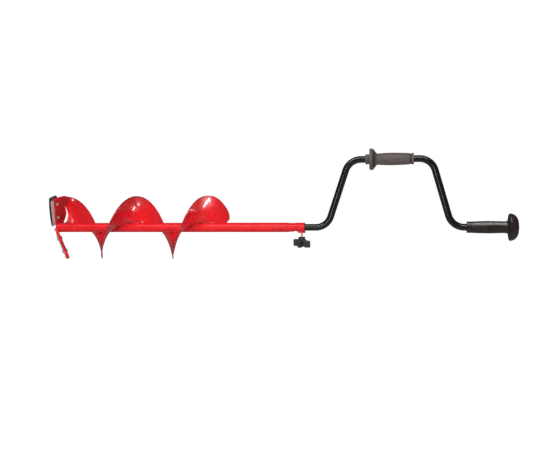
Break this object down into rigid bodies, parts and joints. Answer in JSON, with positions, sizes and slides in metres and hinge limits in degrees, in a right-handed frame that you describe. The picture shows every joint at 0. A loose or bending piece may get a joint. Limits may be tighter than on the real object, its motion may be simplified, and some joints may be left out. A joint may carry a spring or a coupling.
{
  "type": "ice fishing auger",
  "caption": "Hand-cranked ice auger: helical flighting on a tube with a bladed cutting head, and a telescoping offset crank with two spinning grips.",
  "frame": {"origin": "centre of the auger tube's lower (cutting) end face, on the auger's axis", "axes": "+X along the auger's axis from the cutting head to the palm knob, +Z towards the crank's offset bow at rest, +Y completes a right-handed frame"},
  "size_m": [1.2054, 0.1652, 0.2832],
  "materials": {
    "red_paint": "gloss red powder coat",
    "black_paint": "gloss black enamel",
    "blade_steel": "ground and polished blade steel",
    "zinc_steel": "bright zinc plate",
    "grip_rubber": "matt warm grey moulded rubber",
    "palm_plastic": "satin dark brown-black moulding",
    "knob_plastic": "matt black moulding",
    "plug_plastic": "matt black moulding"
  },
  "bodies": {
    "auger": {"auger_tube": "red_paint", "lower_end_plug": "red_paint", "clamp_nut": "red_paint", "flighting": "red_paint", "blade_bracket_a": "red_paint", "blade_bracket_b": "red_paint", "cutting_blade_a": "blade_steel", "cutting_blade_b": "blade_steel", "blade_screw_a1": "zinc_steel", "blade_screw_a2": "zinc_steel", "blade_screw_b1": "zinc_steel", "blade_screw_b2": "zinc_steel", "blade_nut_a1": "zinc_steel", "blade_nut_a2": "zinc_steel", "blade_nut_b1": "zinc_steel", "blade_nut_b2": "zinc_steel"},
    "crank_guide": {"crank_lower_plug": "plug_plastic"},
    "crank": {"crank_tube": "black_paint", "crank_upper_plug": "zinc_steel", "retaining_washer": "zinc_steel", "retaining_screw": "zinc_steel"},
    "middle_grip_sleeve": {"middle_grip": "grip_rubber"},
    "palm_handle": {"palm_grip": "palm_plastic", "palm_knob": "palm_plastic"},
    "clamp_shank": {"thumb_screw": "zinc_steel"},
    "clamp_knob": {"thumb_knob": "knob_plastic"}
  },
  "joints": [
    {"name": "crank_slide", "type": "slide", "parent": "auger", "child": "crank_guide", "axis": [1, 0, 0], "range_m": [0, 0.241]},
    {"name": "crank_swivel", "type": "hinge", "parent": "crank_guide", "child": "crank", "pos_m": [0.37, 0, 0], "axis": [1, 0, 0], "continuous": true},
    {"name": "middle_grip_spin", "type": "hinge", "parent": "crank", "child": "middle_grip_sleeve", "pos_m": [0.8775, 0, 0.17], "axis": [1, 0, 0], "continuous": true},
    {"name": "palm_grip_spin", "type": "hinge", "parent": "crank", "child": "palm_handle", "pos_m": [1.12, 0, 0], "axis": [1, 0, 0], "continuous": true},
    {"name": "screw_travel", "type": "slide", "parent": "auger", "child": "clamp_shank", "axis": [0, 0, -1], "range_m": [0, 0.0025]},
    {"name": "knob_turn", "type": "hinge", "parent": "clamp_shank", "child": "clamp_knob", "pos_m": [0.659, 0, -0.0364], "axis": [0, 0, -1], "range_deg": [0, 720]}
  ],
  "couplings": [
    {"joint": "screw_travel", "follows": "knob_turn", "m_per_rad": 0.00019894}
  ]
}
